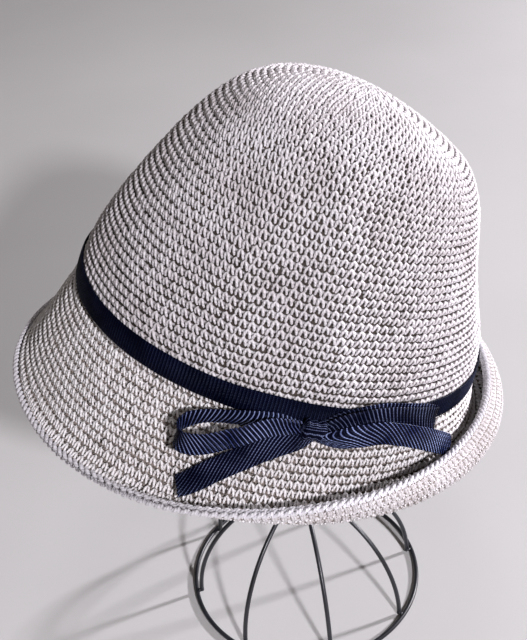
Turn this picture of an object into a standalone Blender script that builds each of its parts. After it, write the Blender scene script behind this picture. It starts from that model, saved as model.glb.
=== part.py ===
"""Crocheted cloche hat with a ribbon bow, resting on a domed wire stand.

Metres, +Z up. The hat's front faces -Y and the wearer's left, where the bow is, faces +X.
The origin is on the floor, under the middle of the whole part's bounding box.
Azimuths run in degrees from the hat's front towards the wearer's left.
"""

import math

import bmesh
import bpy
from mathutils import Matrix, Vector
from mathutils.bvhtree import BVHTree

# Gap kept between pieces that touch
FIT_GAP = 0.0003

# Crocheted shell: sizes of its outer face at the ribbon's lower edge
HEAD_LENGTH = 0.191
HEAD_BREADTH = 0.182
CROWN_HEIGHT = 0.1125
CROWN_BEND = 9.5
BEND_GROWTH = 1.5
BRIM_WIDTH = 0.050
CROCHET_THICKNESS = 0.0026
FOLD_DEPTH = 0.0013
FOLD_FADE = 0.25

# Form of the crown as shares of its size at the foot: how far it draws in and how full its top is, and how
# far the shoulder stands out behind, at a share of the height and over a spread of it
CROWN_TAPER = 0.77
CROWN_FULLNESS = 0.95
BACK_SHOULDER = 0.085
SHOULDER_RISE = 0.83
SHOULDER_SPREAD = 0.29
TOP_CLOSING = 8

# Ribbon and bow
RIBBON_WIDTH = 0.0099
RIBBON_THICKNESS = 0.0010
KNOT_AZIMUTH = 82.0
KNOT_WIDTH = 0.0098
KNOT_HEIGHT = 0.0098
KNOT_DEPTH = 0.0062
KNOT_ROUNDING = 0.0016
KNOT_RISE = 0.0010
LEFT_LOOP_LENGTH = 0.047
RIGHT_LOOP_LENGTH = 0.056
LEFT_TAIL_LENGTH = 0.041
RIGHT_TAIL_LENGTH = 0.067
LOOP_DEPTH = 0.013

# How the hat sits on the stand
HAT_HEIGHT = 0.1825
HAT_LEAN = 19.6
HAT_SETBACK = -0.0046

# Wire stand
WIRE_DIAMETER = 0.0024
BASE_RADIUS = 0.0626
BASE_HEIGHT = 0.0651
HEAD_RADIUS = 0.066
HEAD_DOME_HEIGHT = 0.070
RIB_COUNT = 8
FIRST_RIB = 41.0

# Fineness of the meshes
AZIMUTHS = 56
CROWN_ROWS = 14
BRIM_ROWS = 12
STRIP_STEPS = 22
RING_STEPS = 36
RIB_STEPS = 8
WIRE_SIDES = 8
CURVE_STEPS = 24
SEATING_STEPS = 80
SHARP_ANGLE = 50
FRAME_TURN = 0.5
FRAME_STEP = 0.0005

# Brim at eight azimuths, 45 degrees apart from the front: width as a share of BRIM_WIDTH, slope in degrees
# below the level at its root and at its free edge (negative climbs), and the share of its width where it turns
BRIM_SECTIONS = (
    # width, root slope, edge slope, turn
    (1.03, 68, 49, 0.77),
    (1.02, 66, -15, 0.69),
    (1.00, 67, -107, 0.50),
    (0.93, 70, -160, 0.31),
    (0.90, 69, -160, 0.23),
    (0.98, 64, -117, 0.31),
    (1.07, 66, -45, 0.50),
    (1.07, 70, 29, 0.69),
)

# Soft upright folds in the crown: azimuth at the foot and at the top, share of the height where each starts and
# ends, half width in degrees and depth as a share of FOLD_DEPTH. Each fades over FOLD_FADE of its height.
CROWN_FOLDS = (
    # foot, top, start, end, half width, depth
    (44, 33, 0.15, 0.85, 10, 1.0),
    (74, 56, 0.10, 0.95, 10, 1.0),
    (98, 88, 0.20, 0.95, 11, 0.8),
    (150, 160, 0.25, 0.85, 12, 0.6),
    (-40, -34, 0.15, 0.85, 11, 0.8),
    (-85, -72, 0.20, 0.90, 12, 0.8),
    (-135, -128, 0.25, 0.85, 12, 0.7),
)

# Ribbon strips of the bow: share of the way from the knot to the strip's far end, distance down from the band's
# lower edge as a share of RIBBON_WIDTH, distance out from the band as a share of LOOP_DEPTH, width as a share of
# RIBBON_WIDTH, and lean in degrees of the strip's lower edge towards the hat
LEFT_LOOP = (
    # along, down, out, width, lean
    (0.00, 0.05, 0.03, 0.55, 0),
    (0.25, 0.02, 0.03, 0.85, 0),
    (0.58, 0.34, 0.05, 1.00, 3),
    (0.83, 0.76, 0.12, 1.00, 8),
    (0.97, 1.25, 0.26, 1.00, 16),
    (1.00, 1.62, 0.50, 1.00, 24),
    (0.93, 1.80, 0.80, 1.00, 28),
    (0.75, 1.52, 0.98, 1.00, 28),
    (0.55, 0.92, 0.90, 1.00, 24),
    (0.28, 0.10, 0.60, 0.85, 10),
    (0.00, -0.05, 0.25, 0.55, 0),
)
RIGHT_LOOP = (
    # along, down, out, width, lean
    (0.00, -0.18, 0.03, 0.55, 0),
    (0.16, -0.60, 0.04, 0.85, 0),
    (0.45, -0.86, 0.04, 1.00, 0),
    (0.78, -0.70, 0.04, 1.00, 0),
    (0.96, -0.46, 0.08, 1.00, 0),
    (1.00, -0.42, 0.18, 1.00, 0),
    (0.95, -0.44, 0.28, 1.00, 0),
    (0.78, -0.66, 0.31, 1.00, 0),
    (0.45, -0.84, 0.31, 1.00, 0),
    (0.16, -0.60, 0.29, 0.85, 0),
    (0.00, -0.18, 0.22, 0.55, 0),
)
LEFT_TAIL = (
    # along, down, out, width, lean
    (0.00, 0.66, 0.14, 0.50, 0),
    (0.20, 1.02, 0.02, 0.85, 0),
    (0.42, 1.56, 0.00, 1.00, 0),
    (0.72, 2.50, 0.02, 1.00, 0),
    (1.00, 3.80, 0.10, 1.00, 0),
)
RIGHT_TAIL = (
    # along, down, out, width, lean
    (0.00, 0.44, 0.40, 0.42, 0),
    (0.06, 0.38, 0.50, 0.60, 0),
    (0.20, 0.04, 0.54, 1.00, 0),
    (0.38, -0.20, 0.52, 1.00, 0),
    (0.68, 0.34, 0.46, 1.00, 0),
    (1.00, 1.36, 0.22, 1.00, 0),
)

WIRE_RADIUS = WIRE_DIAMETER / 2
# The ribs' ends stand side by side around the post, which is as thick as the room that their slanted ends leave
HUB_RADIUS = (WIRE_RADIUS + FIT_GAP) / math.sin(math.pi / RIB_COUNT)
SLANT_ROOM = 1.5 * FIT_GAP
POST_RADIUS = HUB_RADIUS - SLANT_ROOM
# Middle of a strip that lies on the ribbon band
STRIP_LIFT = FIT_GAP + RIBBON_THICKNESS + FIT_GAP + RIBBON_THICKNESS / 2


def clear_scene():
    for obj in list(bpy.data.objects):
        bpy.data.objects.remove(obj, do_unlink=True)


def smooth_step(value):
    value = min(max(value, 0.0), 1.0)
    return value * value * (3 - 2 * value)


def smooth_curve(before, start, end, after, share):
    """Point on the smooth curve from start to end, between rows of a table."""
    out = []
    for a, b, c, d in zip(before, start, end, after):
        bend = 2 * a - 5 * b + 4 * c - d
        twist = 3 * b - a - 3 * c + d
        out.append(b + 0.5 * share * ((c - a) + share * (bend + share * twist)))
    return out


def brim_section(azimuth):
    """Width share, root slope, edge slope and turn of the brim at an azimuth."""
    count = len(BRIM_SECTIONS)
    place = (azimuth % 360) / 360 * count
    row = int(place)
    rows = [BRIM_SECTIONS[(row + step) % count] for step in (-1, 0, 1, 2)]
    return smooth_curve(*rows, place - row)


def strip_station(table, share):
    """Row of a strip's table at a share of its stations."""
    last = len(table) - 1
    place = share * last
    row = min(int(place), last - 1)
    rows = [table[min(max(row + step, 0), last)] for step in (-1, 0, 1, 2)]
    return smooth_curve(*rows, place - row)


def outward(azimuth):
    return Vector((math.sin(math.radians(azimuth)), -math.cos(math.radians(azimuth)), 0))


def fold_depth(azimuth, rise):
    """How far the folds push the crown in."""
    depth = 0
    for foot, top, start, end, half_width, share in CROWN_FOLDS:
        middle = foot + (top - foot) * rise
        away = (azimuth - middle + 180) % 360 - 180
        across = math.exp(-((away / half_width) ** 2))
        fade = FOLD_FADE * (end - start)
        along = smooth_step((rise - start) / fade + 0.5) * smooth_step((end - rise) / fade + 0.5)
        depth += share * FOLD_DEPTH * across * along
    return depth


def crown_spine(rise):
    """Lean of the crown's rounds and place of their centre, at a share of the crown's height."""
    centre = Vector((0, 0, 0))
    stride = rise / CURVE_STEPS
    for step in range(CURVE_STEPS):
        lean = math.radians(CROWN_BEND) * ((step + 0.5) * stride) ** BEND_GROWTH
        centre += Vector((0, math.sin(lean), math.cos(lean))) * stride * CROWN_HEIGHT
    return math.radians(CROWN_BEND) * rise**BEND_GROWTH, centre


def crown_point(azimuth, rise):
    """Point on the crown's outer face, at a share of the crown's height."""
    lean, centre = crown_spine(rise)
    size = math.sqrt(max(1 - rise * rise, 0)) * (1 - CROWN_TAPER * rise**2 + CROWN_FULLNESS * rise**3)
    behind = max(-math.cos(math.radians(azimuth)), 0) ** 2
    bulge = math.exp(-(((rise - SHOULDER_RISE) / SHOULDER_SPREAD) ** 2)) * min(1, TOP_CLOSING * (1 - rise))
    size += BACK_SHOULDER * behind * bulge
    way = outward(azimuth)
    way -= way * fold_depth(azimuth, rise) / (HEAD_BREADTH / 2)
    flat = Vector((HEAD_BREADTH / 2 * size * way.x, HEAD_LENGTH / 2 * size * way.y, 0))
    return centre + Matrix.Rotation(-lean, 3, "X") @ flat


def brim_point(azimuth, share):
    """Point on the brim's upper face, at a share of the brim's width out from the ribbon."""
    width, root, edge, turn = brim_section(azimuth)
    stride = width * BRIM_WIDTH * share / CURVE_STEPS
    reach = 0
    drop = 0
    for step in range(CURVE_STEPS):
        place = (step + 0.5) / CURVE_STEPS * share
        slope = math.radians(root + (edge - root) * smooth_step((place - turn) / (1 - turn)))
        reach += math.cos(slope) * stride
        drop += math.sin(slope) * stride
    way = outward(azimuth)
    foot = Vector((HEAD_BREADTH / 2 * way.x, HEAD_LENGTH / 2 * way.y, 0))
    across = Vector((way.x / HEAD_BREADTH, way.y / HEAD_LENGTH, 0)).normalized()
    return foot + across * reach - Vector((0, 0, drop))


def hat_point(azimuth, down):
    """Point on the hat's outer face: down the brim from the ribbon's lower edge, or up the crown if negative."""
    if down > 0:
        return brim_point(azimuth, down / (brim_section(azimuth)[0] * BRIM_WIDTH))
    return crown_point(azimuth, -down / CROWN_HEIGHT)


def hat_frame(azimuth, down, step=FRAME_STEP):
    """Point on the hat's outer face with the directions along the rounds, outwards and downhill.

    A longer step eases the directions over the fold between the crown and the brim."""
    along = (hat_point(azimuth + FRAME_TURN, down) - hat_point(azimuth - FRAME_TURN, down)).normalized()
    downhill = (hat_point(azimuth, down + step) - hat_point(azimuth, down - step)).normalized()
    return hat_point(azimuth, down), along, downhill.cross(along).normalized(), downhill


def arc_azimuth(distance):
    """Azimuth at a distance along the band from the knot, towards the back if positive."""
    return KNOT_AZIMUTH + math.degrees(distance / ((HEAD_LENGTH + HEAD_BREADTH) / 4))


def mesh_object(name, rows, closed_around, pole=None):
    """Open surface through rows of points, as an object. The pole closes the last row to a point."""
    mesh = bpy.data.meshes.new(name)
    shape = bmesh.new()
    grid = [[shape.verts.new(point) for point in row] for row in rows]
    columns = len(rows[0])
    for low, high in zip(grid, grid[1:]):
        for column in range(columns if closed_around else columns - 1):
            after = (column + 1) % columns
            shape.faces.new((low[column], low[after], high[after], high[column]))
    if pole is not None:
        tip = shape.verts.new(pole)
        for column in range(columns):
            shape.faces.new((grid[-1][column], grid[-1][(column + 1) % columns], tip))
    shape.to_mesh(mesh)
    shape.free()
    return bpy.data.objects.new(name, mesh)


def thicken(obj, thickness, offset):
    solidify = obj.modifiers.new("Thickness", "SOLIDIFY")
    solidify.thickness = thickness
    solidify.offset = offset
    solidify.use_quality_normals = True


def smooth_shading(obj):
    obj.data.shade_smooth()
    obj.data.set_sharp_from_angle(angle=math.radians(SHARP_ANGLE))


def material(name, colour, roughness, metallic=0.0):
    made = bpy.data.materials.get(name)
    if made is None:
        made = bpy.data.materials.new(name)
        made.use_nodes = True
        shader = made.node_tree.nodes["Principled BSDF"]
        shader.inputs["Base Color"].default_value = (*colour, 1)
        shader.inputs["Roughness"].default_value = roughness
        shader.inputs["Metallic"].default_value = metallic
    return made


def crochet_yarn():
    return material("crochet_yarn", (0.72, 0.66, 0.58), 0.9)


def grosgrain():
    return material("grosgrain", (0.012, 0.016, 0.06), 0.6)


def black_wire():
    return material("black_wire", (0.02, 0.022, 0.03), 0.4, 0.5)


def add_piece(obj, finish, parent, collection):
    obj.data.materials.clear()
    obj.data.materials.append(finish)
    obj.parent = parent
    collection.objects.link(obj)
    return obj


def crochet_shell(parent, collection):
    """Crown and brim, crocheted in one piece, open below."""
    azimuths = [360 * column / AZIMUTHS for column in range(AZIMUTHS)]
    rows = [[brim_point(azimuth, row / BRIM_ROWS) for azimuth in azimuths] for row in range(BRIM_ROWS, 0, -1)]
    band_rise = RIBBON_WIDTH / CROWN_HEIGHT
    rises = [0, band_rise / 2]
    start = math.asin(band_rise)
    for row in range(CROWN_ROWS):
        rises.append(math.sin(start + (math.pi / 2 - start) * row / CROWN_ROWS))
    rows += [[crown_point(azimuth, rise) for azimuth in azimuths] for rise in rises]
    obj = mesh_object("crochet_shell", rows, True, crown_point(0, 1))
    thicken(obj, CROCHET_THICKNESS, -1)
    smooth_shading(obj)
    return add_piece(obj, crochet_yarn(), parent, collection)


def ribbon_band(parent, collection):
    """Band of ribbon around the foot of the crown."""
    rows = []
    for share in (0, 0.5, 1):
        row = []
        for column in range(AZIMUTHS):
            point, _, out, _ = hat_frame(360 * column / AZIMUTHS, -RIBBON_WIDTH * share)
            row.append(point + out * FIT_GAP)
        rows.append(row)
    obj = mesh_object("ribbon_band", rows, True)
    thicken(obj, RIBBON_THICKNESS, 1)
    smooth_shading(obj)
    return add_piece(obj, grosgrain(), parent, collection)


def bow_strip(name, table, length, side, parent, collection):
    """Strip of ribbon led through the rows of its table, to the back of the knot or to the front."""
    start = KNOT_WIDTH / 2 + FIT_GAP
    lower = []
    upper = []
    for step in range(STRIP_STEPS + 1):
        along, down, out, width, lean = strip_station(table, step / STRIP_STEPS)
        azimuth = arc_azimuth(side * (start + along * (length - start)))
        point, _, normal, downhill = hat_frame(azimuth, down * RIBBON_WIDTH, RIBBON_WIDTH)
        point = point + normal * (STRIP_LIFT + out * LOOP_DEPTH)
        lean = math.radians(lean)
        across = (downhill * math.cos(lean) - normal * math.sin(lean)) * width * RIBBON_WIDTH / 2
        lower.append(point + across)
        upper.append(point - across)
    obj = mesh_object(name, [lower, upper], False)
    thicken(obj, RIBBON_THICKNESS, 0)
    smooth_shading(obj)
    return add_piece(obj, grosgrain(), parent, collection)


def bow_knot(parent, collection):
    """Wrapped knot of the bow, standing on the band."""
    shape = bmesh.new()
    bmesh.ops.create_cube(shape, size=1, matrix=Matrix.Diagonal((KNOT_WIDTH, KNOT_DEPTH, KNOT_HEIGHT, 1)))
    mesh = bpy.data.meshes.new("bow_knot")
    shape.to_mesh(mesh)
    shape.free()
    obj = bpy.data.objects.new("bow_knot", mesh)
    bevel = obj.modifiers.new("Rounding", "BEVEL")
    bevel.width = KNOT_ROUNDING
    bevel.segments = 2
    point, along, out, downhill = hat_frame(KNOT_AZIMUTH, -KNOT_RISE)
    turn = Matrix((along, out, along.cross(out))).transposed()
    middle = STRIP_LIFT - RIBBON_THICKNESS / 2 + KNOT_DEPTH / 2
    obj.location = point + out * middle
    obj.rotation_euler = turn.to_euler()
    smooth_shading(obj)
    return add_piece(obj, grosgrain(), parent, collection)


def wire_ring(name, radius, height, parent, collection):
    """Ring of wire with flats above and below. Height is that of its middle."""
    mesh = bpy.data.meshes.new(name)
    shape = bmesh.new()
    section = []
    for side in range(WIRE_SIDES):
        angle = math.pi / 2 - 2 * math.pi * (side + 0.5) / WIRE_SIDES
        place = (radius + WIRE_RADIUS * math.cos(angle), 0, WIRE_RADIUS * math.sin(angle))
        section.append(shape.verts.new(place))
    for side in range(WIRE_SIDES):
        shape.edges.new((section[side], section[(side + 1) % WIRE_SIDES]))
    shape.to_mesh(mesh)
    shape.free()
    obj = bpy.data.objects.new(name, mesh)
    screw = obj.modifiers.new("Turn", "SCREW")
    screw.steps = RING_STEPS
    screw.render_steps = RING_STEPS
    screw.use_merge_vertices = True
    screw.merge_threshold = 0.00001
    screw.use_normal_calculate = True
    obj.location = (0, 0, height)
    return add_piece(obj, black_wire(), parent, collection)


def rib_path(foot_radius, height):
    """Middle line of a rib, from its foot up and in to the hub, as distance from the axis and height."""
    end = math.acos(HUB_RADIUS / foot_radius)
    points = []
    for step in range(RIB_STEPS + 1):
        angle = end * step / RIB_STEPS
        points.append((foot_radius * math.cos(angle), height * math.sin(angle)))
    return points


def rib_azimuth(number):
    return math.radians(FIRST_RIB + 360 * number / RIB_COUNT)


def wire_ribs(name, path, height, parent, collection):
    """Ribs of a dome, evenly spaced around the post."""
    curve = bpy.data.curves.new(name, "CURVE")
    curve.dimensions = "3D"
    curve.bevel_depth = WIRE_RADIUS
    curve.bevel_resolution = 2
    curve.use_fill_caps = True
    line = curve.splines.new("POLY")
    line.points.add(len(path) - 1)
    for point, (reach, rise) in zip(line.points, path):
        point.co = (reach, 0, rise, 1)
    for number in range(RIB_COUNT):
        obj = bpy.data.objects.new(f"{name}_{number + 1}", curve)
        obj.location = (0, 0, height)
        obj.rotation_euler = (0, 0, rib_azimuth(number))
        add_piece(obj, black_wire(), parent, collection)


def post(bottom, top, parent, collection):
    """Upright rod that carries the head on the base."""
    shape = bmesh.new()
    reach = POST_RADIUS
    bmesh.ops.create_cone(shape, cap_ends=True, segments=16, radius1=reach, radius2=reach, depth=top - bottom)
    mesh = bpy.data.meshes.new("post")
    shape.to_mesh(mesh)
    shape.free()
    obj = bpy.data.objects.new("post", mesh)
    obj.location = (0, 0, (bottom + top) / 2)
    smooth_shading(obj)
    return add_piece(obj, black_wire(), parent, collection)


def head_seat(shell, path):
    """Height of the head's foot at which its wires reach the inside of the crown, but for the gap."""
    bpy.context.view_layer.update()
    depsgraph = bpy.context.evaluated_depsgraph_get()
    inside = BVHTree.FromObject(shell, depsgraph)
    to_shell = shell.matrix_world.inverted()
    post_top = path[-1][1] + WIRE_RADIUS
    samples = [(0, 0, post_top, 0)]
    for number in range(RIB_COUNT):
        way = rib_azimuth(number)
        samples.append((POST_RADIUS * math.cos(way), POST_RADIUS * math.sin(way), post_top, 0))
        for reach, rise in path:
            samples.append((reach * math.cos(way), reach * math.sin(way), rise, WIRE_RADIUS))
    for step in range(RING_STEPS):
        way = 2 * math.pi * step / RING_STEPS
        ring = path[0][0] + WIRE_DIAMETER + FIT_GAP
        samples.append((ring * math.cos(way), ring * math.sin(way), 0, WIRE_RADIUS))
    height = HAT_HEIGHT - HEAD_DOME_HEIGHT
    for _ in range(SEATING_STEPS):
        spare = math.inf
        for x, y, z, radius in samples:
            near = inside.find_nearest(to_shell @ Vector((x, y, z + height)))
            spare = min(spare, near[3] - radius - FIT_GAP)
        height += spare
    return height


def stand(shell, parent, collection):
    """Base dome, post and head dome."""
    ring_height = WIRE_RADIUS * math.cos(math.pi / WIRE_SIDES)
    inset = WIRE_DIAMETER + FIT_GAP
    wire_ring("base_ring", BASE_RADIUS, ring_height, parent, collection)
    base_path = rib_path(BASE_RADIUS - inset, BASE_HEIGHT - ring_height)
    wire_ribs("base_rib", base_path, ring_height, parent, collection)
    head_path = rib_path(HEAD_RADIUS - inset, HEAD_DOME_HEIGHT)
    height = head_seat(shell, head_path)
    wire_ring("head_ring", HEAD_RADIUS, height, parent, collection)
    wire_ribs("head_rib", head_path, height, parent, collection)
    bottom = ring_height + base_path[-1][1] - WIRE_RADIUS
    post(bottom, height + head_path[-1][1] + WIRE_RADIUS, parent, collection)


def hat(parent, collection):
    shell = crochet_shell(parent, collection)
    ribbon_band(parent, collection)
    bow_knot(parent, collection)
    bow_strip("bow_loop_front", LEFT_LOOP, LEFT_LOOP_LENGTH, -1, parent, collection)
    bow_strip("bow_loop_back", RIGHT_LOOP, RIGHT_LOOP_LENGTH, 1, parent, collection)
    bow_strip("bow_tail_front", LEFT_TAIL, LEFT_TAIL_LENGTH, -1, parent, collection)
    bow_strip("bow_tail_back", RIGHT_TAIL, RIGHT_TAIL_LENGTH, 1, parent, collection)
    return shell


def anchor(name, location, lean, parent, collection):
    empty = bpy.data.objects.new(name, None)
    empty.location = location
    empty.rotation_euler = (math.radians(-lean), 0, 0)
    empty.parent = parent
    collection.objects.link(empty)
    return empty


def centre_on_floor(root, collection):
    """Shift everything so that the origin is under the middle of the part, on the floor."""
    bpy.context.view_layer.update()
    depsgraph = bpy.context.evaluated_depsgraph_get()
    points = []
    for obj in collection.objects:
        if obj.type != "EMPTY":
            placed = obj.evaluated_get(depsgraph)
            mesh = placed.to_mesh()
            points += [placed.matrix_world @ vertex.co for vertex in mesh.vertices]
            placed.to_mesh_clear()
    for axis in (0, 1):
        places = [point[axis] for point in points]
        root.location[axis] = -(min(places) + max(places)) / 2
    root.location[2] = -min(point[2] for point in points)


def main():
    clear_scene()
    collection = bpy.data.collections.new("cloche hat on wire stand")
    bpy.context.scene.collection.children.link(collection)
    root = anchor("part_origin", (0, 0, 0), 0, None, collection)
    seat = anchor("hat_seat", (0, HAT_SETBACK, HAT_HEIGHT), HAT_LEAN, root, collection)
    shell = hat(seat, collection)
    stand(shell, root, collection)
    centre_on_floor(root, collection)
    bpy.context.view_layer.update()


main()
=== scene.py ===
"""Looks of a crocheted cloche hat with a ribbon bow, resting on a domed wire stand.

Metres, +Z up. Azimuths run in degrees from the hat's front (-Y) towards the wearer's left (+X), where
the bow is. A place on the hat is given by its round, counted from the top of the crown to the brim's
free edge, and by its azimuth.
"""

import math

import bpy
import numpy as np
from mathutils import Matrix, Vector


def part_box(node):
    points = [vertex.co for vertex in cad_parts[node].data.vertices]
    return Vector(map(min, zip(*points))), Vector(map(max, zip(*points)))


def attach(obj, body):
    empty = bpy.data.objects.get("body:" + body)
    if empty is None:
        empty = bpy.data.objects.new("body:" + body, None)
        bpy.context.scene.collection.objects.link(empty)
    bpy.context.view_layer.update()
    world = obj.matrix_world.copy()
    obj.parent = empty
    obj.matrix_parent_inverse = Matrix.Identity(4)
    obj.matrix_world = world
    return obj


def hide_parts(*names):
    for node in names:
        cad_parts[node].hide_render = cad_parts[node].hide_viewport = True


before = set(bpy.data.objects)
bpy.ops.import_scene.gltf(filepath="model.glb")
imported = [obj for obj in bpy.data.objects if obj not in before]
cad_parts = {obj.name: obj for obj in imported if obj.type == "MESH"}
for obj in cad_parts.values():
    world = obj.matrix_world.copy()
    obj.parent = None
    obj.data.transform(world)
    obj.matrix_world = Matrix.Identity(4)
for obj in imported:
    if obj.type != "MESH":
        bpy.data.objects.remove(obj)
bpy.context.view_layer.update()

# Form of the hat, as in the part's source
HEAD_LENGTH = 0.191
HEAD_BREADTH = 0.182
CROWN_HEIGHT = 0.1125
CROWN_BEND = 9.5
BEND_GROWTH = 1.5
BRIM_WIDTH = 0.050
CROCHET_THICKNESS = 0.0026
FOLD_DEPTH = 0.0019
FOLD_FADE = 0.25
CROWN_TAPER = 0.77
CROWN_FULLNESS = 0.95
BACK_SHOULDER = 0.085
SHOULDER_RISE = 0.83
SHOULDER_SPREAD = 0.29
TOP_CLOSING = 8
HAT_HEIGHT = 0.1825
HAT_LEAN = 19.6
HAT_SETBACK = -0.0046

BRIM_SECTIONS = np.array(
    (
        # width, root slope, edge slope, turn
        (1.03, 68, 49, 0.77),
        (1.02, 66, -15, 0.69),
        (1.00, 67, -107, 0.50),
        (0.93, 70, -160, 0.31),
        (0.90, 69, -160, 0.23),
        (0.98, 64, -117, 0.31),
        (1.07, 66, -45, 0.50),
        (1.07, 70, 29, 0.69),
    )
)
CROWN_FOLDS = (
    # foot, top, start, end, half width, depth
    (44, 33, 0.15, 0.85, 10, 1.0),
    (74, 56, 0.10, 0.95, 10, 1.0),
    (98, 88, 0.20, 0.95, 11, 0.8),
    (150, 160, 0.25, 0.85, 12, 0.6),
    (-40, -34, 0.15, 0.85, 11, 0.8),
    (-85, -72, 0.20, 0.90, 12, 0.8),
    (-135, -128, 0.25, 0.85, 12, 0.7),
)

# Ribbon and bow
RIBBON_WIDTH = 0.0099
RIBBON_THICKNESS = 0.0005
STRIP_ROOM = 0.0010
BAND_GAP = 0.0003
KNOT_AZIMUTH = 82.0
KNOT_WIDTH = 0.0098
KNOT_HEIGHT = 0.0098
KNOT_DEPTH = 0.0062
KNOT_RISE = 0.1
KNOT_BLUNTNESS = 3.2
KNOT_ROWS = 26
KNOT_COLUMNS = 40
KNOT_RIBS = 18
LOOP_DEPTH = 0.013

# Grosgrain: its ribs, and how far from the knot they arch
BAND_RIB_PITCH = 0.00150
LOOP_RIB_PITCH = 0.0018
TAIL_RIB_PITCH = 0.0022
RIB_RELIEF = 0.00024
STEPS_PER_RIB = 4
ARCH_REACH = 0.20

# Strips of ribbon: their rounded edges, hollow, columns of points, and pleats where the knot gathers them
EDGE_PLACE = 0.95
EDGE_THINNING = 0.35
BAND_CUP = 0.0002
STRIP_CUP = 0.0006
STRIP_STEPS = 260
STRIP_SQUARING = 0.9
STRAIGHT_COLUMNS = 4
SKEWED_COLUMNS = 18
LEAST_SKEW = 0.2
PLEAT_HEIGHT = 0.0007
PLEAT_REACH = 0.10
PLEAT_WAVES = 1.5

LEFT_LOOP = (
    # along, down, out, width, lean
    (0.00, 0.05, 0.03, 0.55, 0),
    (0.25, -0.02, 0.12, 0.85, 20),
    (0.58, 0.20, 0.22, 1.00, 40),
    (0.83, 0.56, 0.28, 1.00, 44),
    (0.97, 1.06, 0.38, 1.00, 40),
    (1.00, 1.54, 0.56, 1.00, 34),
    (0.93, 1.80, 0.80, 1.00, 28),
    (0.75, 1.52, 0.98, 1.00, 28),
    (0.55, 0.92, 0.90, 1.00, 24),
    (0.28, 0.10, 0.60, 0.85, 10),
    (0.00, -0.05, 0.25, 0.55, 0),
)
RIGHT_LOOP = (
    # along, down, out, width, lean
    (0.00, -0.18, 0.03, 0.55, 0),
    (0.16, -0.60, 0.04, 0.85, 0),
    (0.45, -0.86, 0.04, 1.00, 0),
    (0.78, -0.70, 0.04, 1.00, 0),
    (0.96, -0.46, 0.08, 1.00, 0),
    (1.00, -0.42, 0.18, 1.00, 0),
    (0.95, -0.44, 0.28, 1.00, 0),
    (0.78, -0.66, 0.31, 1.00, 0),
    (0.45, -0.84, 0.31, 1.00, 0),
    (0.16, -0.60, 0.29, 0.85, 0),
    (0.00, -0.18, 0.22, 0.55, 0),
)
LEFT_TAIL = (
    # along, down, out, width, lean
    (-0.14, 0.05, 0.16, 0.80, 0),
    (0.00, 0.52, 0.14, 0.90, 0),
    (0.20, 0.98, 0.04, 1.00, 0),
    (0.42, 1.60, 0.00, 1.00, 0),
    (0.72, 2.62, 0.02, 1.00, 0),
    (1.00, 3.92, 0.10, 1.00, 0),
)
RIGHT_TAIL = (
    # along, down, out, width, lean
    (-0.08, 0.05, 0.24, 0.60, 0),
    (0.00, 0.20, 0.36, 0.60, 0),
    (0.08, 0.12, 0.44, 0.85, 0),
    (0.20, -0.08, 0.48, 1.00, 0),
    (0.38, -0.22, 0.48, 1.00, 0),
    (0.68, 0.34, 0.46, 1.00, 0),
    (1.00, 1.36, 0.22, 1.00, 0),
)

# Wire stand
WIRE_RADIUS = 0.0012
BASE_RADIUS = 0.0626
BASE_HEIGHT = 0.0651
HEAD_RADIUS = 0.066
HEAD_DOME_HEIGHT = 0.070
RIB_COUNT = 8
FIRST_RIB = 41.0
WIRE_SIDES = 12
RING_STEPS = 144
RIB_STATIONS = 33
WELD_SIZE = (0.0012, 0.0012, 0.0011)
WELD_LIFT = 0.0003
WELD_ROWS = 9
WELD_COLUMNS = 14
POST_SIDES = 24
POST_BEVEL = 0.0004
COLLAR_ROOM = 0.0002
COLLAR_HEIGHT = 0.0012
LOW_COLLAR = 0.0016
HIGH_COLLAR = 0.0020

# Crochet: sizes of a stitch, and how finely the hat's form is kept for laying stitches on it
CROWN_STITCH = 0.0038
BRIM_STITCH = 0.0034
CROWN_PITCH = 0.0033
BRIM_PITCH = 0.0035
YARN_RADIUS = 0.00064
EDGE_RADIUS = 0.00085
BRIM_OVERLAP = 1.14
BRIM_FLATNESS = 0.9
BRIM_FINENESS = 0.95
LEG_SPACING = 0.29
COUNT_STEP = 6
LEAST_STITCHES = 7
ROUND_SLIP = -0.15
CROWN_CUTS = (0.47, 0.74)
CROWN_SAMPLES = 1501
BRIM_SAMPLES = 601
GRID_AZIMUTHS = 720
GRID_STEPS = 4
SPARE_ROUNDS = 1

# How far a stitch strays: along and down in stitches, then its height in metres, its slant and its size
STRAY_ALONG = 0.05
STRAY_DOWN = 0.03
STRAY_HEIGHT = 0.00010
STRAY_SLANT = 0.06
STRAY_SIZE = 0.06

# Skin behind the stitches: depths under the outer face, and the wrong side's ridges inside the crown
SKIN_DEPTH = 0.0019
SKIN_BRIM_RISE = 0.0004
SKIN_BRIM_BACK = 0.0017
SKIN_CROWN_BACK = 0.0009
SKIN_RIDGE = 0.00030
SKIN_PURL = 0.00015
SKIN_BLEND = 1.5
SKIN_TOP_ROUND = 0.25
SKIN_COLUMNS = 146

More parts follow.
